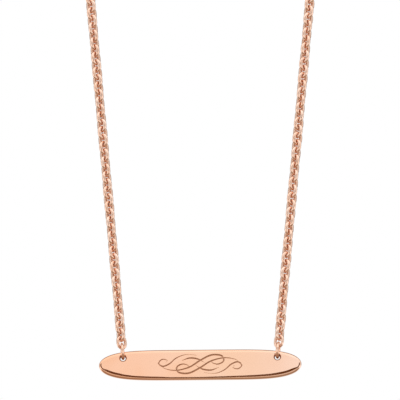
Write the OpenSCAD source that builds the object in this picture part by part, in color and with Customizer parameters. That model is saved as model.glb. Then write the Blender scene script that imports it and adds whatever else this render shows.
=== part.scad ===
// Nameplate necklace: an oval bar on two jump rings, carried by a cable chain that closes with a spring ring.
// Lengths are in millimetres. The loop hangs in the XZ plane with its top at the origin, and the plate faces -Y.

/* [Nameplate] */
// Length of the plate from tip to tip
plate_len = 40; // [34:0.5:50]
// Height of the plate at its middle
plate_h = 6.15; // [5.2:0.05:8]
// Thickness of the plate
plate_t = 1.3; // [1.1:0.05:1.8]
// Fullness of the plate's ends: 2 gives an ellipse, more gives squarer ends
plate_fullness = 5.5; // [4:0.5:10]
// Width of the rounding along the plate's edges, measured across its face
edge_width = 0.9; // [0.3:0.05:1.2]
// Depth of that rounding, front and back
edge_depth = 0.62; // [0.2:0.02:0.8]
// Distance from each tip of the plate to the centre of its hole
hole_inset = 4.75; // [4:0.25:7]
// Diameter of each hole
hole_d = 1.05; // [1.05:0.05:1.6]
// Height of the metal left between a hole and the plate's upper edge
bridge = 0.82; // [0.6:0.02:1]
// Width of the bevel round each hole
hole_bevel = 0.2; // [0.05:0.01:0.25]

/* [Jump rings] */
// Wire diameter of the two jump rings
jump_wire = 0.55; // [0.45:0.05:0.6]
// Gap between a jump ring and the edges of its hole
jump_fit = 0.1; // [0.08:0.01:0.2]
// Gap between the plate's upper edge and the last link
plate_gap = 0.55; // [0.2:0.01:0.7]

/* [Chain] */
// Length of the whole necklace, plate and clasp included
necklace_len = 406; // [380:1:425]
// Wire diameter of the links
link_wire = 0.64; // [0.5:0.01:0.7]
// Gap between two linked wires where they hang on each other
link_gap = 0.14; // [0.12:0.01:0.17]
// Gap on each side of the wire that passes through a link
link_side = 0.15; // [0.14:0.005:0.25]
// Height left open in a link between the two wires that cross it
link_window = 0.12; // [0.12:0.01:0.5]
// Angle by which each strand leans outwards from the plate, in degrees
strand_lean = 5.1; // [2:0.1:9]
// Turn of the last link at the plate away from square to its jump ring, in degrees
plate_turn = 20; // [0:1:20]
// Number of links over which the chain goes from that turn to its own turn
plate_turning = 3; // [3:1:8]
// Number of links over which it turns back to square at the clasp
clasp_turning = 10; // [8:1:14]

/* [Clasp] */
// Diameter of the clasp's opening
clasp_in = 3.3; // [3:0.1:4.5]
// Diameter of the clasp's tube
clasp_tube = 1.1; // [0.9:0.05:1.4]
// Diameter of the opening in the clasp's eye
eye_in = 1.3; // [1.2:0.05:1.8]
// Wire diameter of the clasp's eye
eye_wire = 0.6; // [0.5:0.05:0.8]
// Depth to which the eye is soldered into the clasp's tube
eye_solder = 0.35; // [0.2:0.05:0.5]
// Diameter of the thumb knob
knob_d = 0.8; // [0.6:0.05:1]
// Height of the thumb knob above the clasp's tube
knob_h = 0.7; // [0.4:0.05:1]
// Wire diameter of the rings that join the chain to the clasp
end_wire = 0.5; // [0.4:0.05:0.55]
// Room left free inside each of those rings
end_room = 0.3; // [0.2:0.05:0.8]

/* [Hidden] */

// Colours of the metal: polished plate, drawn wire and clasp
plate_colour = [0.93, 0.72, 0.6];
wire_colour = [0.86, 0.6, 0.47];
clasp_colour = [0.82, 0.57, 0.45];

// Smoothness of the round pieces, of the plate's outline and of its rounded edge
round_fn = 32;
outline_steps = 120;
edge_steps = 5;
// Smallest flat band kept between the front and back rounding of the plate's edge
edge_band = 0.02;
// Overshoot of the cutters past the surfaces that they cut
overshoot = 0.5;

// Link: half the clear length inside it, its width, the distance to the next link
link_pitch = 2 * link_wire + link_gap + link_window;
link_w = 3 * link_wire + 2 * link_side;
link_in = (link_pitch + link_gap) / 2;
link_bend = (link_w - link_wire) / 2;

// Plate: depth of its rounded edge, place of the holes
edge_used = min(edge_depth, (plate_t - edge_band) / 2);
hole_x = plate_len / 2 - hole_inset;
function half_height(x) = plate_h / 2 * sqrt(1 - pow(abs(x) / (plate_len / 2), plate_fullness));
hole_z = half_height(hole_x) - bridge - hole_d / 2;

// Jump ring: its inner circle clears both edges of the hole, below the link and the bridge that it holds
hole_drop = link_gap + link_wire + plate_gap + bridge;
function ring_round(half_t, drop) =
    (drop * drop + half_t * half_t - jump_fit * jump_fit) / (2 * (drop - jump_fit));
jump_in = max(ring_round(plate_t / 2 - hole_bevel, hole_drop),
              ring_round(plate_t / 2, hole_drop - hole_bevel));
jump_r = jump_in + jump_wire / 2;
// From the last link's wire, on which the ring swings, down to the ring's centre and to its lowest wire
jump_drop = jump_in - link_gap - link_wire / 2;
jump_foot = jump_drop + jump_r;

// Joining rings and clasp: half the clear lengths, and the clasp's length between its two hooked ends
end_in = (link_wire + clasp_tube + 2 * link_gap + end_room) / 2;
clasp_r = (clasp_in + clasp_tube) / 2;
eye_reach = clasp_in / 2 + clasp_tube + eye_in / 2 + eye_wire - eye_solder;
clasp_len = eye_in / 2 + eye_reach + clasp_in / 2;
// Turn of the thumb knob from the top of the clasp, towards the right
knob_turn = 40;

// Loop: number of links a side, an odd number so that both end links lie in the loop's plane
first_link = link_in + link_wire / 2;
last_part = (end_in + link_in - link_gap) + (end_in - link_gap);
side_wanted = (necklace_len - clasp_len) / 2 - hole_x - jump_foot;
links = 2 * round((side_wanted - first_link - last_part) / link_pitch / 2) + 1;
side_len = first_link + (links - 1) * link_pitch + last_part;
pivot_x = hole_x + jump_foot * sin(strand_lean);
// Radius of the arch at the top, found in a few rounds because the clasp cuts its chord out of the arch
rad = PI / 180;
arch_rounds = 6;
arch_guess = 30;
function arch_angle(r) = 90 + strand_lean - asin(clasp_len / 2 / r);
function arch_next(r) =
    (pivot_x + (side_len - r * rad * arch_angle(r)) * sin(strand_lean)) / cos(strand_lean);
function arch(n) = n < 1 ? arch_guess : arch_next(arch(n - 1));
arch_r = arch(arch_rounds);
straight = side_len - arch_r * rad * arch_angle(arch_r);
pivot_z = -arch_r * (1 + sin(strand_lean)) - straight * cos(strand_lean);
clasp_sag = arch_r - sqrt(arch_r * arch_r - clasp_len * clasp_len / 4);
ring_z = pivot_z - jump_drop * cos(strand_lean);
plate_z = ring_z + jump_in - hole_drop - hole_d / 2 - hole_z;

// Path of the left strand by its length from the last link's wire: up a straight, then round the arch
function arch_turn(s) = max(0, s - straight) / arch_r / rad;
function path_tilt(s) = arch_turn(s) - strand_lean;
function path_point(s) =
    let (a = 180 + strand_lean - arch_turn(s), below = min(0, s - straight))
    [arch_r * cos(a) - below * sin(strand_lean), 0, -arch_r + arch_r * sin(a) + below * cos(strand_lean)];
// Turn of a link about the strand: a quarter turn each, and half a quarter turn more away from the two ends
own_turn = 45;
function shared_turn(k) =
    min(own_turn,
        plate_turn + (own_turn - plate_turn) * k / plate_turning,
        own_turn * (links - 1 - k) / clasp_turning);
function link_turn(k) = 90 * (k % 2) + shared_turn(k);

// Outline of the plate at one level, drawn in by a given distance along its normals
function tip(v, e) = sign(v) * pow(abs(v), e);
function outline_point(a) = [plate_len / 2 * tip(cos(a), 2 / plate_fullness), plate_h / 2 * sin(a)];
function outline_normal(p) =
    let (n = [tip(p.x / (plate_len / 2), plate_fullness - 1) * plate_fullness / plate_len,
              4 * p.y / plate_h / plate_h])
    n / norm(n);
// Steps are closer together near the two tips, where the outline turns most
step_shift = 12;
function outline_angle(i) =
    let (t = 360 * (i + 0.5) / outline_steps)
    t - step_shift * sin(2 * t);
function outline_ring(inset, y) =
    [for (i = [0 : outline_steps - 1])
        let (p = outline_point(outline_angle(i)), q = p - inset * outline_normal(p))
        [q.x, y, q.y]];

// Levels of the edge from the front face to the back face: distance drawn in, and depth
edge_levels = concat(
    [for (i = [0 : edge_steps]) let (a = 90 * (1 - i / edge_steps))
        [edge_width * (1 - cos(a)), -plate_t / 2 + edge_used * (1 - sin(a))]],
    [for (i = [0 : edge_steps]) let (a = 90 * i / edge_steps)
        [edge_width * (1 - cos(a)), plate_t / 2 - edge_used * (1 - sin(a))]]);

// Solid plate with its rounded edge, without holes
module plate_blank() {
    levels = len(edge_levels);
    n = outline_steps;
    points = [for (e = edge_levels) each outline_ring(e[0], e[1])];
    sides = [for (l = [0 : levels - 2], i = [0 : n - 1])
        [l * n + i, l * n + (i + 1) % n, (l + 1) * n + (i + 1) % n, (l + 1) * n + i]];
    front = [for (i = [n - 1 : -1 : 0]) i];
    back = [for (i = [0 : n - 1]) (levels - 1) * n + i];
    polyhedron(points, concat([front], sides, [back]), convexity = 4);
}

// Cutter for one hole: a bore through the plate with a bevel at both faces
module hole_cutter() {
    rotate([90, 0, 0]) {
        cylinder(d = hole_d, h = plate_t + 2 * overshoot, center = true, $fn = round_fn);
        for (side = [0, 180])
            rotate([side, 0, 0])
                translate([0, 0, plate_t / 2 - hole_bevel])
                    cylinder(d1 = hole_d, d2 = hole_d + 2 * (hole_bevel + overshoot),
                             h = hole_bevel + overshoot, $fn = round_fn);
    }
}

module nameplate() {
    color(plate_colour)
        translate([0, 0, plate_z])
            difference() {
                plate_blank();
                for (side = [-1, 1])
                    translate([side * hole_x, 0, hole_z]) hole_cutter();
            }
}

// Round wire ring in the XZ plane about the origin
module wire_ring(inner_r, wire) {
    rotate([90, 0, 0])
        rotate_extrude($fn = round_fn)
            translate([inner_r + wire / 2, 0]) circle(d = wire, $fn = round_fn);
}

// Oval link in the XZ plane about the origin, its length along Z
module link() {
    side_h = link_in + link_wire - link_w / 2;
    rotate([90, 0, 0])
        for (end = [0, 180])
            rotate([0, 0, end]) {
                translate([0, side_h, 0])
                    rotate_extrude(angle = 180, $fn = round_fn)
                        translate([link_bend, 0]) circle(d = link_wire, $fn = round_fn);
                translate([link_bend, 0, 0])
                    rotate([90, 0, 0]) cylinder(d = link_wire, h = 2 * side_h, center = true, $fn = round_fn);
            }
}

// Places a piece on the left strand, at a length along it and with a turn about it
module on_strand(s, turn) {
    translate(path_point(s)) rotate([0, path_tilt(s), 0]) rotate([0, 0, turn]) children();
}

module strand() {
    for (k = [0 : links - 1])
        on_strand(first_link + k * link_pitch, link_turn(k)) link();
}

module chain_left() {
    color(wire_colour) strand();
}

module chain_right() {
    color(wire_colour) mirror([1, 0, 0]) strand();
}

module jump_ring() {
    on_strand(-jump_drop, 90) wire_ring(jump_in, jump_wire);
}

module jump_ring_left() {
    color(wire_colour) jump_ring();
}

module jump_ring_right() {
    color(wire_colour) mirror([1, 0, 0]) jump_ring();
}

module joining_ring() {
    on_strand(side_len - end_in + link_gap, 90) wire_ring(end_in, end_wire);
}

module clasp_ring() {
    color(wire_colour) joining_ring();
}

module end_ring() {
    color(wire_colour) mirror([1, 0, 0]) joining_ring();
}

// Closed spring ring with its eye to the left and its thumb knob at the upper right
module clasp() {
    clasp_x = clasp_len / 2 - clasp_in / 2;
    color(clasp_colour)
        translate([clasp_x, 0, -clasp_sag]) {
            wire_ring(clasp_in / 2, clasp_tube);
            translate([-eye_reach, 0, 0]) wire_ring(eye_in / 2, eye_wire);
            rotate([0, knob_turn, 0])
                translate([0, 0, clasp_r]) cylinder(d = knob_d, h = clasp_tube / 2 + knob_h, $fn = round_fn);
        }
}

nameplate();
jump_ring_left();
jump_ring_right();
chain_left();
chain_right();
clasp();
clasp_ring();
end_ring();
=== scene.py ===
import math

import bmesh
import bpy
from mathutils import Matrix, Vector
from mathutils.kdtree import KDTree


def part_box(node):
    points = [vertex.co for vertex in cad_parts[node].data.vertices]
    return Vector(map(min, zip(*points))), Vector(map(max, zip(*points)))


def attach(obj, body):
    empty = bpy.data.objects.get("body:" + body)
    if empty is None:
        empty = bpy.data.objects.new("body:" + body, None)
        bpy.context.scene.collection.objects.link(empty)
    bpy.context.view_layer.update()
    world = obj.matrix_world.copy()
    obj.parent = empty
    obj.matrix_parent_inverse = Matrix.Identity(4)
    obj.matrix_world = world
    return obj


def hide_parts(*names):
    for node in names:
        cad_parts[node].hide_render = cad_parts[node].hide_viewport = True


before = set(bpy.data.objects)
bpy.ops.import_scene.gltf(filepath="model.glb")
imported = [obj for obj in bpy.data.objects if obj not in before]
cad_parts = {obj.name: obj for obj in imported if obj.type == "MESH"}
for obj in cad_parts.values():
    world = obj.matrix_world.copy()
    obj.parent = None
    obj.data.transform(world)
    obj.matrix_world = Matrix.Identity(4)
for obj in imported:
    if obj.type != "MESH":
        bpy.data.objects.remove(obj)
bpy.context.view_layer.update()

# Nameplate necklace in rose gold: an oval bar hung by two jump rings from a cable chain with a spring ring.
# Shapes are made in millimetres, with the sizes of the CAD model, and each mesh is brought to metres when done.
MM = 0.001

PLATE_LENGTH, PLATE_HEIGHT, PLATE_THICKNESS = 40.0, 6.15, 1.3
PLATE_FULLNESS = 5.5
OUTLINE_POINTS, TIP_CROWDING = 264, math.radians(12)
EDGE_DEPTH = 0.62
# Width of the polished edge: even along the top, tight at the tips, and along the bottom as hand work left it.
# A bevel of even tilt takes the first share of it, least along the top, and the rounding takes the rest.
EDGE_WIDTH, EDGE_WIDTH_TIPS = 0.72, 0.5
TIP_START, TIP_SPREAD = 0.4, 0.45
LOWER_EDGE_WIDTHS = [(-16.5, 0.88), (-14.8, 0.77), (-12.8, 0.68), (-9, 0.62), (-5, 0.46), (-1, 0.46),
                     (5, 0.62), (8.7, 0.70), (10, 0.75), (13, 0.81), (16.3, 0.9)]
BEVEL_SHARE_TOP, BEVEL_SHARE_BOTTOM, BEVEL_TILT = 0.24, 0.5, math.radians(11.2)
HOLE_X, HOLE_RADIUS, HOLE_LIP, BRIDGE = 15.25, 0.525, 0.2, 0.82

LINKS, LINK_PITCH = 117, 1.54
LINK_WIRE, LINK_INNER, LINK_WIDTH = 0.64, 0.84, 2.22
LINK_SIDES, LINK_BEND_STEPS = 6, 6
# The links' wire as it shows: a little stouter than in the CAD model, whose links keep clear of each other.
# The last link is of thinner wire, and turned further from square, with its jump ring turned a little after it.
SHOWN_WIRE, LAST_LINK_WIRE = 0.74, 0.64
LAST_LINK_TURNS, JUMP_RING_TURN = (26, 38), 4
# Half a quarter turn, shared by all links but those near the clasp, and how unevenly it falls, in degrees
SHARED_TURN, LINK_WOBBLE, WOBBLE_RHYTHM = 45, 5, 2.4
CLASP_TURNING = 10
# Step of the links' tones, a golden share of their range, and how far the mirrored strand is out of step
TONE_STEP, MIRRORED_TONE = 0.618034, 0.37
# Nearness of a neighbour's centre line at which the painted shade on a link starts, and at which it is darkest
CREVICE_REACH, CREVICE_TOUCH = 0.95, 0.42
STRAND_LEAN = math.radians(5.1)
ARCH_RADIUS, STRAIGHT = 27.9353, 139.293
SIDE_LENGTH = 182.68

JUMP_WIRE, JUMP_RADIUS, JUMP_DROP = 0.60, 1.4494, 0.7144
END_WIRE, END_RADIUS, END_DROP = 0.5, 1.41, 1.02
CLASP_INNER, CLASP_TUBE, CLASP_X, CLASP_SAG = 3.3, 1.1, 1.325, 0.159
EYE_INNER, EYE_WIRE, EYE_REACH = 1.3, 0.6, 3.65
KNOB_WIDTH, KNOB_TOP, KNOB_ROUNDING, KNOB_TURN = 0.8, 3.45, 0.12, math.radians(40)

# Half length and half height of the engraved flourish, and of the fine grid round it that is cut
FLOURISH_X, FLOURISH_Z = 8.2, 2.0
FIELD_X, FIELD_Z = FLOURISH_X + 0.4, FLOURISH_Z + 0.12
FIELD_CELLS_X, FIELD_CELLS_Z = 344, 95
LINE_STEPS, LINE_END, LINE_SWELL = 26, 0.06, 1.6
ENGRAVING_DEPTH, ENGRAVING_REACH, FULL_DEPTH_FROM = 0.11, 0.32, 0.13
BURR_HEIGHT, BURR_WIDTH = 0.008, 0.7

CAMERA_BELOW, CAMERA_ASIDE = math.radians(15), math.radians(2)
CAMERA_DISTANCE, CAMERA_SENSOR = 3.0, 36
# The photograph's scale and width, and its plate's middle: pixels right of the centre and down from the top
PX_PER_MM, PICTURE_PX = 5.05, 400
PLATE_RIGHT_PX, PLATE_DOWN_PX = 0.25, 364.5
FLOOR_DEPTH, FLOOR_HALF = 1.0, 20


# ---------------------------------------------------------------- meshes

def finish_mesh(bm, name, material, body, node):
    """Brings a mesh from millimetres to metres and puts it in the scene in place of its CAD node."""
    bmesh.ops.scale(bm, vec=(MM, MM, MM), verts=bm.verts)
    mesh = bpy.data.meshes.new(name)
    bm.to_mesh(mesh)
    bm.free()
    mesh.materials.append(material)
    piece = bpy.data.objects.new(name, mesh)
    bpy.context.scene.collection.objects.link(piece)
    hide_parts(node)
    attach(piece, body)
    return piece


def smooth(bm, faces=None):
    for face in faces or bm.faces:
        face.smooth = True


def edges_of(verts):
    return list({edge for vert in verts for edge in vert.link_edges})


def add_wire_ring(bm, mean_radius, wire_radius, sides=16, steps=48):
    """Round wire ring in the XZ plane about the origin."""
    before = set(bm.verts)
    circle = bmesh.ops.create_circle(bm, segments=sides, radius=wire_radius,
                                     matrix=Matrix.Translation((mean_radius, 0, 0)))["verts"]
    bmesh.ops.spin(bm, geom=circle + edges_of(circle), cent=(0, 0, 0), axis=(0, 1, 0),
                   angle=2 * math.pi, steps=steps, use_merge=True)
    return [vert for vert in bm.verts if vert not in before]


# ---------------------------------------------------------------- strand

def path_turn(s):
    return max(0.0, s - STRAIGHT) / ARCH_RADIUS


def on_strand(s, turn):
    """Place on the left strand at a length from the last link's wire, turned about the strand."""
    angle = math.pi + STRAND_LEAN - path_turn(s)
    below = min(0.0, s - STRAIGHT)
    point = Vector((ARCH_RADIUS * math.cos(angle) - below * math.sin(STRAND_LEAN), 0,
                    -ARCH_RADIUS + ARCH_RADIUS * math.sin(angle) + below * math.cos(STRAND_LEAN)))
    tilt = path_turn(s) - STRAND_LEAN
    return Matrix.Translation(point) @ Matrix.Rotation(tilt, 4, "Y") @ Matrix.Rotation(turn, 4, "Z")


def link_turn(k):
    """Quarter turns, half a quarter more along the strand, and back to square at the clasp."""
    if k < len(LAST_LINK_TURNS):
        return math.radians(90 * (k % 2) + LAST_LINK_TURNS[k])
    shared = min(SHARED_TURN, SHARED_TURN * (LINKS - 1 - k) / CLASP_TURNING)
    wobble = LINK_WOBBLE * shared / SHARED_TURN * math.sin(WOBBLE_RHYTHM * k)
    return math.radians(90 * (k % 2) + shared + wobble)


def link_mesh(wire):
    """Oval link of round wire in the XZ plane: a half ring, its twin, and two straight wires between them."""
    bend = (LINK_WIDTH - LINK_WIRE) / 2
    side = LINK_INNER + LINK_WIRE - LINK_WIDTH / 2
    bm = bmesh.new()
    place = Matrix.Translation((bend, 0, side)) @ Matrix.Rotation(math.pi / LINK_SIDES, 4, "Z")
    circle = bmesh.ops.create_circle(bm, segments=LINK_SIDES, radius=wire / 2, matrix=place)["verts"]
    bmesh.ops.spin(bm, geom=circle + edges_of(circle), cent=(0, 0, side), axis=(0, -1, 0),
                   angle=math.pi, steps=LINK_BEND_STEPS)
    half = list(bm.verts) + list(bm.edges) + list(bm.faces)
    twin = bmesh.ops.duplicate(bm, geom=half)["geom"]
    bmesh.ops.rotate(bm, cent=(0, 0, 0), matrix=Matrix.Rotation(math.pi, 3, "Y"),
                     verts=[part for part in twin if isinstance(part, bmesh.types.BMVert)])
    for way in (1, -1):
        open_edges = [edge for edge in bm.edges
                      if edge.is_boundary and all(vert.co.x * way > 0 for vert in edge.verts)]
        bmesh.ops.bridge_loops(bm, edges=open_edges)
    bmesh.ops.recalc_face_normals(bm, faces=bm.faces)
    smooth(bm)
    mesh = bpy.data.meshes.new("link")
    bm.to_mesh(mesh)
    bm.free()
    return mesh


def link_centre_line(count=12):
    """Points along the middle of a link's wire."""
    bend = (LINK_WIDTH - LINK_WIRE) / 2
    side = LINK_INNER + LINK_WIRE - LINK_WIDTH / 2
    points = []
    for way in (1, -1):
        for i in range(count + 1):
            angle = math.pi * i / count
            points.append(Vector((bend * math.cos(angle), 0, bend * math.sin(angle) + side)) * way)
        points += [Vector((-bend * way, 0, side * share)) for share in (0.5, 0, -0.5)]
    return points


def strand_tree(places):
    """All the links' centre lines of one strand, to find how near a neighbour's wire comes to a point."""
    line = link_centre_line()
    tree = KDTree(len(line) * len(places))
    for k, place in enumerate(places):
        for i, point in enumerate(line):
            tree.insert(place @ point, k * len(line) + i)
    tree.balance()
    return tree, len(line)


def crevice(point, k, tree, line_length):
    """How deep a point of link k sits by its neighbours: 1 where two wires all but touch, 0 in the open."""
    found = tree.find_range(point, CREVICE_REACH)
    near = min((distance for _, i, distance in found if i // line_length != k), default=CREVICE_REACH)
    return max(0.0, min(1.0, (CREVICE_REACH - near) / (CREVICE_REACH - CREVICE_TOUCH)))


def add_chain(name, body, node, mirrored, material):
    """One strand of links, with the crevices between neighbours, where the shade is painted, and each link's
    tone as attributes.
    """
    links = [link_mesh(LAST_LINK_WIRE), link_mesh(SHOWN_WIRE)]
    places = [on_strand(LINK_INNER + LINK_WIRE / 2 + k * LINK_PITCH, link_turn(k)) for k in range(LINKS)]
    tree, line_length = strand_tree(places)
    bm = bmesh.new()
    depth_layer = bm.verts.layers.float.new("crevice")
    tone_layer = bm.verts.layers.float.new("link_tone")
    for k in range(LINKS):
        link = links[min(k, 1)]
        bm.from_mesh(link)
        bm.verts.ensure_lookup_table()
        added = bm.verts[-len(link.vertices):]
        bmesh.ops.transform(bm, matrix=places[k], verts=added)
        for vert in added:
            vert[depth_layer] = crevice(vert.co, k, tree, line_length)
            vert[tone_layer] = (k * TONE_STEP + (MIRRORED_TONE if mirrored else 0)) % 1
    if mirrored:
        bmesh.ops.scale(bm, vec=(-1, 1, 1), verts=bm.verts)
        bmesh.ops.reverse_faces(bm, faces=bm.faces)
    for link in links:
        bpy.data.meshes.remove(link)
    return finish_mesh(bm, name, material, body, node)


def add_strand_ring(name, body, node, s, turn, radius, wire, mirrored, material):
    """Small ring in line with a strand, its middle at the length s along it."""
    bm = bmesh.new()
    add_wire_ring(bm, radius, wire / 2)
    bmesh.ops.transform(bm, matrix=on_strand(s, math.radians(90 + turn)), verts=bm.verts)
    if mirrored:
        bmesh.ops.scale(bm, vec=(-1, 1, 1), verts=bm.verts)
    bmesh.ops.recalc_face_normals(bm, faces=bm.faces)
    smooth(bm)
    return finish_mesh(bm, name, material, body, node)


# ---------------------------------------------------------------- plate

def outline_place(angle):
    """Point of the plate's outline, with steps closer together near the two tips."""
    crowded = angle - TIP_CROWDING * math.sin(2 * angle)
    along = math.cos(crowded)
    return (PLATE_LENGTH / 2 * math.copysign(abs(along) ** (2 / PLATE_FULLNESS), along),
            PLATE_HEIGHT / 2 * math.sin(crowded))


def outline_normal(x, z):
    """Outward direction of the plate's outline at one of its points."""
    across = PLATE_FULLNESS * (abs(x) / (PLATE_LENGTH / 2)) ** (PLATE_FULLNESS - 1) / (PLATE_LENGTH / 2)
    return Vector((math.copysign(across, x), 0, 2 * z / (PLATE_HEIGHT / 2) ** 2)).normalized()


def half_height(x):
    return PLATE_HEIGHT / 2 * math.sqrt(1 - (abs(x) / (PLATE_LENGTH / 2)) ** PLATE_FULLNESS)


def lower_edge_width(x):
    """Width of the polished edge along the bottom, eased from each given width to the next."""
    for (x0, width0), (x1, width1) in zip(LOWER_EDGE_WIDTHS, LOWER_EDGE_WIDTHS[1:]):
        if x < x1:
            share = max(0.0, (x - x0) / (x1 - x0))
            return width0 + (width1 - width0) * share * share * (3 - 2 * share)
    return LOWER_EDGE_WIDTHS[-1][1]


def edge_width(x, normal):
    """Width of the polished edge at one point of the outline."""
    below = max(0.0, min(1.0, -2 * normal.z))
    width = EDGE_WIDTH + (lower_edge_width(x) - EDGE_WIDTH) * below
    tip = max(0.0, min(1.0, (abs(normal.x) - TIP_START) / TIP_SPREAD))
    return width + (EDGE_WIDTH_TIPS - width) * tip * tip * (3 - 2 * tip)


def smooth_line(points, width):
    """Points and half widths along a Catmull-Rom line that swells in the middle and thins out at both ends."""
    ends = [points[0], *points, points[-1]]
    made = []
    count = (len(points) - 1) * LINE_STEPS
    for i in range(len(points) - 1):
        p0, p1, p2, p3 = (Vector((p[0] * FLOURISH_X, 0, p[1] * FLOURISH_Z)) for p in ends[i:i + 4])
        for j in range(LINE_STEPS):
            t = j / LINE_STEPS
            point = 0.5 * (2 * p1 + (p2 - p0) * t + (2 * p0 - 5 * p1 + 4 * p2 - p3) * t ** 2
                           + (3 * p1 - p0 - 3 * p2 + p3) * t ** 3)
            along = (i * LINE_STEPS + j) / count
            swell = math.sin(math.pi * along) ** LINE_SWELL
            made.append((point, LINE_END + (width / 2 - LINE_END) * swell))
    return made


# Lines of the flourish in shares of its half length and half height. Each is drawn again turned half round.
SWASH = [(-0.98, 0.10), (-0.86, -0.42), (-0.58, -0.62), (-0.26, -0.30), (0.02, 0.42), (0.28, 0.92),
         (0.52, 0.82), (0.56, 0.28), (0.42, -0.02), (0.28, 0.18), (0.36, 0.46)]
CURL = [(0.10, -0.90), (0.36, -0.96), (0.58, -0.62), (0.74, -0.06), (0.90, 0.20), (1.0, -0.12),
        (0.92, -0.50), (0.80, -0.42), (0.82, -0.18)]
LEAF = [(-0.10, -0.16), (0.06, -0.52), (0.26, -0.62), (0.44, -0.36)]
SWASH_WIDTH, CURL_WIDTH, LEAF_WIDTH = 0.36, 0.28, 0.32


def flourish_lines():
    lines = []
    for points, width in ((SWASH, SWASH_WIDTH), (CURL, CURL_WIDTH), (LEAF, LEAF_WIDTH)):
        for way in (1, -1):
            lines += smooth_line([(way * x, way * z) for x, z in points], width)
    return lines


def engrave(bm, grid, depth_layer):
    """Sinks the grid's points along the flourish, with a low burr beside each line."""
    lines = flourish_lines()
    tree = KDTree(len(lines))
    for i, (point, _) in enumerate(lines):
        tree.insert(point, i)
    tree.balance()
    for vert in grid:
        if vert.is_boundary:
            continue
        flat = Vector((vert.co.x, 0, vert.co.z))
        cut, burr = 0.0, 0.0
        for _, i, distance in tree.find_range(flat, ENGRAVING_REACH):
            half_width = lines[i][1]
            share = distance / half_width
            if share < 1:
                cut = max(cut, (1 - share * share) * min(1.0, half_width / FULL_DEPTH_FROM))
            elif share < 1 + BURR_WIDTH:
                burr = max(burr, math.sin((share - 1) / BURR_WIDTH * math.pi))
        vert.co.y += ENGRAVING_DEPTH * cut - (BURR_HEIGHT * burr if cut == 0 else 0)
        vert[depth_layer] = cut


# Profile of a hole from the front face to the middle of the plate: radius past the bore, depth, and painted
# shade, darkest down the bore
HOLE_PROFILE = [(HOLE_LIP + 0.06, 0.0, 0.0), (HOLE_LIP + 0.01, 0.0, 0.4), (HOLE_LIP - 0.04, 0.03, 0.85),
                (0.12, 0.085, 0.45), (0.05, 0.15, 0.35), (0.012, 0.195, 0.6), (0.0, 0.24, 1.0), (0.0, 0.4, 1.0)]
HOLE_STEPS = 44


def add_hole(bm, x, z, painted_shade_layer):
    """Wall of one hole with its countersunk lips, spun from its profile, which carries the painted shade."""
    half = [(HOLE_RADIUS + out, -PLATE_THICKNESS / 2 + depth, painted_shade) for out, depth, painted_shade in HOLE_PROFILE]
    profile = half + [(r, -y, painted_shade) for r, y, painted_shade in reversed(half)]
    verts = []
    for r, y, painted_shade in profile:
        verts.append(bm.verts.new((x + r, y, z)))
        verts[-1][painted_shade_layer] = painted_shade
    edges = [bm.edges.new(pair) for pair in zip(verts, verts[1:])]
    bmesh.ops.spin(bm, geom=verts + edges, cent=(x, 0, z), axis=(0, 1, 0), angle=2 * math.pi,
                   steps=HOLE_STEPS, use_merge=True)


def fill_face(bm, y):
    """Closes one flat face of the plate between its outline, its holes and the engraved field."""
    rim = [edge for edge in bm.edges
           if edge.is_boundary and all(abs(vert.co.y - y) < 1e-4 for vert in edge.verts)]
    return bmesh.ops.triangle_fill(bm, use_beauty=True, use_dissolve=False, edges=rim,
                                   normal=(0, math.copysign(1, y), 0))["geom"]


# Levels of the plate's edge: inwards of the bevel, over the bevel from 0 to 1, over the rounding from 1 to 2
ROUNDING_STEPS = 11
EDGE_LEVELS = [-0.12, 0, 0.1, 0.9] + [1 + i / ROUNDING_STEPS for i in range(ROUNDING_STEPS + 1)]


def edge_place(level, width, share):
    """How far a level of the edge is drawn in from the outline, and how far it stands off the rim's middle."""
    bevel = width * share
    if level <= 1:
        return width - bevel * level, EDGE_DEPTH - bevel * max(0.0, level) * math.tan(BEVEL_TILT)
    across, down = width - bevel, EDGE_DEPTH - bevel * math.tan(BEVEL_TILT)
    lean = math.tan(BEVEL_TILT) * across / down
    start = math.asin(lean / (1 - lean))
    angle = start + (level - 1) * (math.pi / 2 - start)
    return across * (1 - math.sin(angle)) / (1 - math.sin(start)), down * math.cos(angle) / math.cos(start)


def place_ring(ring, angle_layer, edge_layer, level, y_way):
    """Puts one ring of the outline at a level of the edge, each point drawn in along the outline's normal."""
    for vert in ring:
        x, z = outline_place(vert[angle_layer])
        normal = outline_normal(x, z)
        share = BEVEL_SHARE_BOTTOM + (BEVEL_SHARE_TOP - BEVEL_SHARE_BOTTOM) * (1 + normal.z) / 2
        drawn_in, height = edge_place(level, edge_width(x, normal), share)
        y = y_way * (PLATE_THICKNESS / 2 - EDGE_DEPTH + height)
        vert.co = (x - normal.x * drawn_in, y, z - normal.z * drawn_in)
        vert[edge_layer] = 1 - height / EDGE_DEPTH


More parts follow.
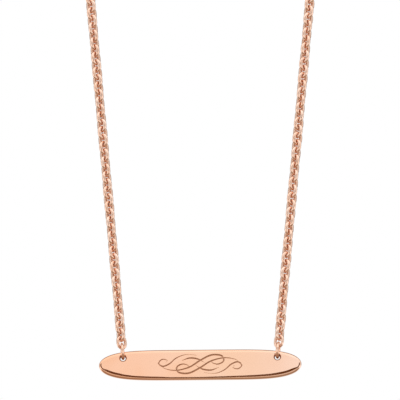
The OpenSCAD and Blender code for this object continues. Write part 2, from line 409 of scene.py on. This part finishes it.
def add_plate(material):
    """The bar: rings of the outline from face to face, two holes, and a fine grid that takes the engraving."""
    front = -PLATE_THICKNESS / 2
    bm = bmesh.new()
    layers = bm.verts.layers.float
    for name in ("engraved", "edge", "painted_shade", "outline_angle"):
        layers.new(name)
    edge_layer, angle_layer = layers["edge"], layers["outline_angle"]
    ring = bmesh.ops.create_circle(bm, segments=OUTLINE_POINTS, radius=1)["verts"]
    for vert in ring:
        vert[angle_layer] = math.atan2(vert.co.y, vert.co.x)
    rim = edges_of(ring)
    levels = [(level, -1) for level in EDGE_LEVELS] + [(level, 1) for level in reversed(EDGE_LEVELS)]
    for i, (level, y_way) in enumerate(levels):
        if i:
            made = bmesh.ops.extrude_edge_only(bm, edges=rim)["geom"]
            ring = [part for part in made if isinstance(part, bmesh.types.BMVert)]
            rim = [edge for edge in edges_of(ring) if all(vert in ring for vert in edge.verts)]
        place_ring(ring, angle_layer, edge_layer, level, y_way)
    layers.remove(angle_layer)
    depth_layer, painted_shade_layer = layers["engraved"], layers["painted_shade"]
    bmesh.ops.recalc_face_normals(bm, faces=bm.faces)
    hole_z = half_height(HOLE_X) - BRIDGE - HOLE_RADIUS
    for way in (-1, 1):
        add_hole(bm, way * HOLE_X, hole_z, painted_shade_layer)
    smooth(bm)
    place = (Matrix.Translation((0, front, 0)) @ Matrix.Rotation(math.pi / 2, 4, "X")
             @ Matrix.Diagonal((FIELD_X, FIELD_Z, 1, 1)))
    grid = bmesh.ops.create_grid(bm, x_segments=FIELD_CELLS_X, y_segments=FIELD_CELLS_Z, size=1,
                                 matrix=place)["verts"]
    field = list({face for vert in grid for face in vert.link_faces})
    engrave(bm, grid, depth_layer)
    for y in (front, -front):
        fill_face(bm, y)
    bmesh.ops.recalc_face_normals(bm, faces=bm.faces)
    smooth(bm, field)
    low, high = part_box("nameplate")
    bmesh.ops.translate(bm, vec=(0, 0, (low.z + high.z) / 2 / MM), verts=bm.verts)
    return finish_mesh(bm, "engraved_plate", material, "pendant", "nameplate")


# ---------------------------------------------------------------- clasp

def add_clasp(material):
    """Spring ring: the tube bent to a ring, the eye at its side, and the thumb knob with a rounded top."""
    bm = bmesh.new()
    mean_radius = (CLASP_INNER + CLASP_TUBE) / 2
    add_wire_ring(bm, mean_radius, CLASP_TUBE / 2, sides=24, steps=72)
    eye = add_wire_ring(bm, (EYE_INNER + EYE_WIRE) / 2, EYE_WIRE / 2)
    bmesh.ops.translate(bm, vec=(-EYE_REACH, 0, 0), verts=eye)
    place = Matrix.Rotation(KNOB_TURN, 4, "Y") @ Matrix.Translation((0, 0, (KNOB_TOP + mean_radius) / 2))
    knob = bmesh.ops.create_cone(bm, cap_ends=True, segments=24, radius1=KNOB_WIDTH / 2,
                                 radius2=KNOB_WIDTH / 2, depth=KNOB_TOP - mean_radius, matrix=place)["verts"]
    top = [edge for edge in edges_of(knob) if all(vert.co.length > KNOB_TOP - 0.05 for vert in edge.verts)]
    bmesh.ops.bevel(bm, geom=top, offset=KNOB_ROUNDING, offset_type="OFFSET", segments=4, profile=0.5,
                    affect="EDGES", material=-1)
    bmesh.ops.translate(bm, vec=(CLASP_X, 0, -CLASP_SAG), verts=bm.verts)
    bmesh.ops.recalc_face_normals(bm, faces=bm.faces)
    smooth(bm)
    return finish_mesh(bm, "spring_ring", material, "chain", "clasp")


# ---------------------------------------------------------------- finishes

class Nodes:
    """Short hand for laying out the nodes of one material or group."""

    def __init__(self, tree):
        self.tree = tree

    def add(self, kind, **settings):
        node = self.tree.nodes.new(kind)
        for name, value in settings.items():
            setattr(node, name, value)
        return node

    def join(self, source, target):
        self.tree.links.new(source, target)

    def math(self, operation, a, b=None, clamp=False):
        node = self.add("ShaderNodeMath", operation=operation, use_clamp=clamp)
        for socket, value in zip(node.inputs, (a, b)):
            if isinstance(value, (int, float)):
                socket.default_value = value
            elif value is not None:
                self.join(value, socket)
        return node.outputs[0]

    def span(self, value, low, high, to_low=0.0, to_high=1.0):
        node = self.add("ShaderNodeMapRange", interpolation_type="SMOOTHSTEP")
        self.join(value, node.inputs["Value"])
        for name, number in (("From Min", low), ("From Max", high), ("To Min", to_low), ("To Max", to_high)):
            node.inputs[name].default_value = number
        return node.outputs["Result"]

    def blend(self, share, a, b):
        node = self.add("ShaderNodeMix", data_type="RGBA")
        for socket, value in ((node.inputs[0], share), (node.inputs[6], a), (node.inputs[7], b)):
            if isinstance(value, tuple):
                socket.default_value = (*value, 1)
            elif isinstance(value, (int, float)):
                socket.default_value = value
            else:
                self.join(value, socket)
        return node.outputs[2]

    def noise(self, vector, scale, detail=3.0, rough=0.5):
        node = self.add("ShaderNodeTexNoise")
        self.join(vector, node.inputs["Vector"])
        node.inputs["Scale"].default_value = scale
        node.inputs["Detail"].default_value = detail
        node.inputs["Roughness"].default_value = rough
        return node.outputs["Fac"]


def new_group(name, inputs, outputs):
    group = bpy.data.node_groups.new(name, "ShaderNodeTree")
    for label, kind, value in inputs:
        socket = group.interface.new_socket(label, in_out="INPUT", socket_type=kind)
        if value is not None:
            socket.default_value = value
    for label, kind in outputs:
        group.interface.new_socket(label, in_out="OUTPUT", socket_type=kind)
    nodes = Nodes(group)
    return group, nodes, nodes.add("NodeGroupInput"), nodes.add("NodeGroupOutput")


# Scratches: each way's turn about Y and how much finer it is across than along, then their scale and width
SCRATCH_WAYS = ((0.35, 14.0), (-0.9, 22.0), (1.45, 9.0))
SCRATCH_SCALE, SCRATCH_WIDTH = 400, 0.012


def fine_scratches_group():
    """Hair-fine polishing scratches in three directions. Density sets how strongly they show."""
    group, n, given, out = new_group(
        "fine_scratches",
        [("Vector", "NodeSocketVector", None), ("Density", "NodeSocketFloat", 0.5)],
        [("Scratches", "NodeSocketFloat")])
    marks = []
    for turn, squeeze in SCRATCH_WAYS:
        place = n.add("ShaderNodeMapping")
        n.join(given.outputs["Vector"], place.inputs["Vector"])
        place.inputs["Rotation"].default_value = (0, turn, 0)
        place.inputs["Scale"].default_value = (SCRATCH_SCALE, SCRATCH_SCALE, SCRATCH_SCALE * squeeze)
        line = n.noise(place.outputs["Vector"], scale=1.0, detail=2.0, rough=0.6)
        edge = n.math("ABSOLUTE", n.math("SUBTRACT", line, 0.5))
        thin = n.span(edge, 0.0, SCRATCH_WIDTH, 1.0, 0.0)
        patches = n.noise(given.outputs["Vector"], scale=260 + 10 * squeeze, detail=1.0)
        marks.append(n.math("MULTIPLY", thin, n.span(patches, 0.48, 0.62)))
    total = n.math("ADD", n.math("ADD", marks[0], marks[1]), marks[2])
    n.join(n.math("MULTIPLY", total, given.outputs["Density"], clamp=True), out.inputs["Scratches"])
    return group


def plating_group():
    """Colour of the plating: drifts slowly between a pinker and a yellower tone, and pales where it wears."""
    group, n, given, out = new_group(
        "plating_tone",
        [("Vector", "NodeSocketVector", None), ("Colour", "NodeSocketColor", (0.95, 0.61, 0.43, 1)),
         ("Pale", "NodeSocketColor", (0.97, 0.72, 0.56, 1)), ("Worn", "NodeSocketFloat", 0.0),
         ("Scale", "NodeSocketFloat", 120.0)],
        [("Colour", "NodeSocketColor"), ("Cloud", "NodeSocketFloat")])
    drift = n.add("ShaderNodeTexNoise")
    n.join(given.outputs["Vector"], drift.inputs["Vector"])
    n.join(given.outputs["Scale"], drift.inputs["Scale"])
    drift.inputs["Detail"].default_value = 3
    cloud = n.span(drift.outputs["Fac"], 0.3, 0.7)
    tint = n.add("ShaderNodeHueSaturation")
    n.join(given.outputs["Colour"], tint.inputs["Color"])
    n.join(n.span(cloud, 0, 1, 0.94, 1.05), tint.inputs["Saturation"])
    n.join(n.span(cloud, 0, 1, 1.0, 0.985), tint.inputs["Value"])
    colour = n.blend(given.outputs["Worn"], tint.outputs["Color"], given.outputs["Pale"])
    n.join(colour, out.inputs["Colour"])
    n.join(cloud, out.inputs["Cloud"])
    return group


def start_material(name):
    material = bpy.data.materials.new(name)
    material.use_nodes = True
    tree = material.node_tree
    shader = tree.nodes["Principled BSDF"]
    shader.inputs["Metallic"].default_value = 1
    n = Nodes(tree)
    place = n.add("ShaderNodeTexCoord").outputs["Object"]
    return material, n, shader, place


def place_group(n, group, vector, **values):
    node = n.add("ShaderNodeGroup")
    node.node_tree = group
    n.join(vector, node.inputs["Vector"])
    for name, value in values.items():
        if isinstance(value, (tuple, int, float)):
            node.inputs[name].default_value = value
        else:
            n.join(value, node.inputs[name])
    return node


def add_bump(n, shader, height, distance, strength):
    bump = n.add("ShaderNodeBump")
    bump.inputs["Strength"].default_value = strength
    bump.inputs["Distance"].default_value = distance
    n.join(height, bump.inputs["Height"])
    n.join(bump.outputs["Normal"], shader.inputs["Normal"])


def attribute(n, name):
    return n.add("ShaderNodeAttribute", attribute_name=name).outputs["Fac"]


# Painted light across the face: deeper and redder at the left, paler at the right.
PLATE_SHADED_LEFT, PLATE_MIDDLE, PLATE_LIT_RIGHT = (0.945, 0.548, 0.36), (0.945, 0.62, 0.44), (0.945, 0.64, 0.49)
# The second and third colours are painted shade: brown inside the holes, red in the angles between links.
CUT_BROWN, PAINTED_SHADE_BROWN, CREVICE_SHADE_RED = (0.32, 0.13, 0.06), (0.22, 0.09, 0.045), (0.78, 0.44, 0.30)


def plate_finish(scratches, plating):
    """Polished plate: painted light, redder and deeper at the left and paler at the right; hair scratches, a
    worn edge, dark matt cuts and painted shade in the holes.
    """
    material, n, shader, place = start_material("polished_rose_gold")
    cut = attribute(n, "engraved")
    edge = attribute(n, "edge")
    painted_shade = attribute(n, "painted_shade")
    patches = n.noise(place, scale=900, detail=4)
    worn = n.math("MULTIPLY", n.span(edge, 0.75, 1.0), n.span(patches, 0.45, 0.7, 0.0, 0.3))
    split = n.add("ShaderNodeSeparateXYZ")
    n.join(place, split.inputs[0])
    # Painted light: the base colour runs from the deeper left tone through the middle to the paler right tone.
    colour = n.blend(n.span(split.outputs["X"], -0.013, 0.004), PLATE_SHADED_LEFT, PLATE_MIDDLE)
    colour = n.blend(n.span(split.outputs["X"], 0.004, 0.02), colour, PLATE_LIT_RIGHT)
    tone = place_group(n, plating, place, Colour=colour, Pale=(0.96, 0.72, 0.58, 1), Worn=worn, Scale=90.0)
    base = n.blend(n.span(cut, 0.05, 0.7, 0.0, 0.76), tone.outputs["Colour"], CUT_BROWN)
    # Painted shade inside the holes, darkening the lips and bores towards brown.
    base = n.blend(n.math("MULTIPLY", painted_shade, 0.85), base, PAINTED_SHADE_BROWN)
    n.join(base, shader.inputs["Base Color"])
    marks = place_group(n, scratches, place, Density=0.8).outputs["Scratches"]
    rough = n.math("ADD", n.span(tone.outputs["Cloud"], 0, 1, 0.07, 0.11), n.math("MULTIPLY", marks, 0.1))
    rough = n.math("ADD", rough, n.math("MULTIPLY", n.math("MAXIMUM", cut, painted_shade), 0.25))
    n.join(rough, shader.inputs["Roughness"])
    wave = n.noise(place, scale=220, detail=2)
    height = n.math("SUBTRACT", n.math("MULTIPLY", wave, 0.6), n.math("MULTIPLY", marks, 0.25))
    add_bump(n, shader, height, 0.000006, 0.3)
    return material


def wire_finish(scratches, plating):
    """Drawn and tumbled wire: each link a little paler or deeper than the next, and painted shade, darker and
    redder, in the angles between links.
    """
    material, n, shader, place = start_material("drawn_rose_gold_wire")
    deep = attribute(n, "crevice")
    shade = attribute(n, "link_tone")
    tone = place_group(n, plating, place, Colour=(0.94, 0.64, 0.49, 1), Pale=(0.97, 0.77, 0.66, 1),
                       Worn=n.span(shade, 0, 1, 0.0, 0.5), Scale=600.0)
    patches = n.noise(place, scale=1500, detail=3)
    # Painted shade in the angles between links: the base colour goes darker and redder, in patches, where
    # neighbours crowd.
    painted_shade = n.math("MULTIPLY", n.span(deep, 0.6, 1.0, 0.0, 0.4), n.span(patches, 0.3, 0.6, 0.7, 1.0))
    base = n.blend(painted_shade, tone.outputs["Colour"], CREVICE_SHADE_RED)
    n.join(base, shader.inputs["Base Color"])
    marks = place_group(n, scratches, place, Density=0.6).outputs["Scratches"]
    drawn = n.noise(place, scale=1100, detail=3)
    rough = n.math("ADD", n.span(drawn, 0.3, 0.7, 0.13, 0.24), n.math("MULTIPLY", marks, 0.1))
    rough = n.math("ADD", rough, n.math("MULTIPLY", painted_shade, 0.2))
    n.join(rough, shader.inputs["Roughness"])
    height = n.math("SUBTRACT", n.noise(place, scale=1800, detail=2), n.math("MULTIPLY", marks, 0.3))
    add_bump(n, shader, height, 0.000012, 0.4)
    return material


def clasp_finish(scratches, plating):
    """Polished clasp: the plating has thinned in patches, where it rubs."""
    material, n, shader, place = start_material("clasp_rose_gold")
    rubbed = n.span(n.noise(place, scale=800, detail=4), 0.5, 0.72, 0.0, 0.45)
    tone = place_group(n, plating, place, Colour=(0.94, 0.59, 0.41, 1), Pale=(0.96, 0.73, 0.59, 1),
                       Worn=rubbed, Scale=350.0)
    n.join(tone.outputs["Colour"], shader.inputs["Base Color"])
    marks = place_group(n, scratches, place, Density=1.0).outputs["Scratches"]
    rough = n.math("ADD", n.span(tone.outputs["Cloud"], 0, 1, 0.12, 0.2), n.math("MULTIPLY", marks, 0.14))
    n.join(rough, shader.inputs["Roughness"])
    height = n.math("SUBTRACT", n.noise(place, scale=500, detail=2), n.math("MULTIPLY", marks, 0.4))
    add_bump(n, shader, height, 0.00001, 0.4)
    return material


# ---------------------------------------------------------------- stage

def add_floor():
    """Pale floor below the camera. Its underside is clear, so that it never hides the piece from below."""
    bm = bmesh.new()
    bmesh.ops.create_grid(bm, x_segments=1, y_segments=1, size=FLOOR_HALF)
    bmesh.ops.translate(bm, vec=(0, 0, -FLOOR_DEPTH), verts=bm.verts)
    mesh = bpy.data.meshes.new("floor")
    bm.to_mesh(mesh)
    bm.free()
    material = bpy.data.materials.new("pale_floor")
    material.use_nodes = True
    n = Nodes(material.node_tree)
    shader = n.tree.nodes["Principled BSDF"]
    shader.inputs["Base Color"].default_value = (0.9, 0.9, 0.9, 1)
    shader.inputs["Roughness"].default_value = 0.8
    clear = n.add("ShaderNodeBsdfTransparent")
    mix = n.add("ShaderNodeMixShader")
    n.join(n.add("ShaderNodeNewGeometry").outputs["Backfacing"], mix.inputs[0])
    n.join(shader.outputs[0], mix.inputs[1])
    n.join(clear.outputs[0], mix.inputs[2])
    n.join(mix.outputs[0], n.tree.nodes["Material Output"].inputs["Surface"])
    mesh.materials.append(material)
    floor = bpy.data.objects.new("floor", mesh)
    floor.visible_glossy = False
    bpy.context.scene.collection.objects.link(floor)


# Light of the tent by the angle round the X axis, in degrees: 0 in front, 90 overhead, 180 behind, -90 below
TENT = [(-180, (0.95, 0.93, 0.91)), (-158, (0.95, 0.93, 0.91)), (-138, (0.60, 0.54, 0.49)),
        (-122, (0.40, 0.29, 0.21)), (-48, (0.36, 0.25, 0.17)), (-39, (0.80, 0.68, 0.59)),
        (-14, (0.84, 0.73, 0.65)), (-4, (1.03, 1.03, 1.03)), (30, (1.03, 1.03, 1.03)),
        (45, (1.25, 1.25, 1.25)), (80, (1.25, 1.25, 1.25)), (94, (0.42, 0.34, 0.28)),
        (150, (0.42, 0.34, 0.28)), (168, (0.95, 0.93, 0.91)), (180, (0.95, 0.93, 0.91))]
SIDE_LIGHT, SIDE_BELOW, SIDE_BEHIND = (1.17, 1.15, 1.13), (0.38, 0.27, 0.19), (0.46, 0.37, 0.31)
CARD_BROWN, HOOP_BROWN = (0.16, 0.06, 0.015), (0.12, 0.04, 0.003)


def add_studio():
    """White tent over a warm table, all white to the camera. For the polished edge and the wires to mirror, a
    dark hoop runs round the direction that the plate's face mirrors, and a dark card stands at each side."""
    world = bpy.data.worlds.new("white_tent")
    bpy.context.scene.world = world
    world.use_nodes = True
    n = Nodes(world.node_tree)
    split = n.add("ShaderNodeSeparateXYZ")
    place = n.add("ShaderNodeTexCoord").outputs["Generated"]
    n.join(place, split.inputs[0])
    up, back = split.outputs["Z"], split.outputs["Y"]
    front = n.math("MULTIPLY", back, -1.0)
    aside = n.math("ABSOLUTE", split.outputs["X"])

    angle = n.math("ARCTAN2", up, front)
    ramp = n.add("ShaderNodeValToRGB")
    n.join(n.math("ADD", n.math("MULTIPLY", angle, 0.5 / math.pi), 0.5), ramp.inputs["Fac"])
    stops = ramp.color_ramp.elements
    stops[0].color = (*TENT[0][1], 1)
    stops[1].color = (*TENT[-1][1], 1)
    for degrees, colour in TENT[1:-1]:
        stops.new(degrees / 360 + 0.5).color = (*colour, 1)

    sides = n.blend(n.span(up, -0.55, -0.38), SIDE_BELOW, SIDE_LIGHT)
    behind = n.math("MULTIPLY", n.span(back, -0.1, 0.35), n.span(up, -0.05, 0.08))
    sides = n.blend(behind, sides, SIDE_BEHIND)
    tent = n.blend(n.span(aside, 0.36, 0.50), ramp.outputs["Color"], sides)

    cards = n.math("MULTIPLY", n.span(aside, 0.33, 0.40), n.span(aside, 0.60, 0.85, 1.0, 0.0))
    cards = n.math("MULTIPLY", cards, n.span(up, 0.03, 0.09))
    cards = n.math("MULTIPLY", cards, n.span(up, 0.34, 0.44, 1.0, 0.0))
    cards = n.math("MULTIPLY", cards, n.span(front, 0.2, 0.4))
    tent = n.blend(cards, tent, CARD_BROWN)

    around = n.add("ShaderNodeVectorMath", operation="DOT_PRODUCT")
    n.join(place, around.inputs[0])
    around.inputs[1].default_value = (0, -math.cos(CAMERA_BELOW), math.sin(CAMERA_BELOW))
    nearness = around.outputs["Value"]
    hoop = n.math("MULTIPLY", n.span(nearness, 0.890, 0.905), n.span(nearness, 0.942, 0.954, 1.0, 0.0))
    hoop = n.math("MULTIPLY", hoop, n.span(up, 0.24, 0.36, 1.0, 0.0))
    tent = n.blend(hoop, tent, HOOP_BROWN)

    seen = n.add("ShaderNodeLightPath").outputs["Is Camera Ray"]
    n.join(n.blend(seen, tent, (1, 1, 1)), n.tree.nodes["Background"].inputs["Color"])


def add_camera():
    """Long lens from a little below, framed so that the plate sits where the photograph has it."""
    metres_per_px = MM / PX_PER_MM
    camera = bpy.data.cameras.new("camera")
    camera.type = "PERSP"
    camera.sensor_width = CAMERA_SENSOR
    camera.lens = CAMERA_SENSOR * CAMERA_DISTANCE / (PICTURE_PX * metres_per_px)
    camera.clip_start = 0.1
    camera.clip_end = 100
    item = bpy.data.objects.new("camera", camera)
    bpy.context.scene.collection.objects.link(item)
    low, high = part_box("nameplate")
    plate_z = (low.z + high.z) / 2
    aim_z = plate_z + (PLATE_DOWN_PX - PICTURE_PX / 2) * metres_per_px / math.cos(CAMERA_BELOW)
    aim = Vector((-PLATE_RIGHT_PX * metres_per_px, 0, aim_z))
    level = CAMERA_DISTANCE * math.cos(CAMERA_BELOW)
    item.location = aim + Vector((level * math.sin(CAMERA_ASIDE), -level * math.cos(CAMERA_ASIDE),
                                  -CAMERA_DISTANCE * math.sin(CAMERA_BELOW)))
    item.rotation_euler = (math.pi / 2 + CAMERA_BELOW, 0, CAMERA_ASIDE)
    bpy.context.scene.camera = item


# ---------------------------------------------------------------- scene

bpy.context.scene.view_settings.view_transform = "Standard"
add_camera()
add_studio()
add_floor()

scratches = fine_scratches_group()
plating = plating_group()
plate_metal = plate_finish(scratches, plating)
wire_metal = wire_finish(scratches, plating)
clasp_metal = clasp_finish(scratches, plating)

add_plate(plate_metal)
for side, mirrored in (("left", False), ("right", True)):
    add_chain(f"{side}_strand", "chain", f"chain_{side}", mirrored, wire_metal)
    add_strand_ring(f"{side}_jump_ring", "pendant", f"jump_ring_{side}", -JUMP_DROP, JUMP_RING_TURN,
                    JUMP_RADIUS, JUMP_WIRE, mirrored, wire_metal)
add_strand_ring("clasp_side_ring", "chain", "clasp_ring", SIDE_LENGTH - END_DROP, 0, END_RADIUS, END_WIRE,
                False, wire_metal)
add_strand_ring("free_end_ring", "chain", "end_ring", SIDE_LENGTH - END_DROP, 0, END_RADIUS, END_WIRE,
                True, wire_metal)
add_clasp(clasp_metal)
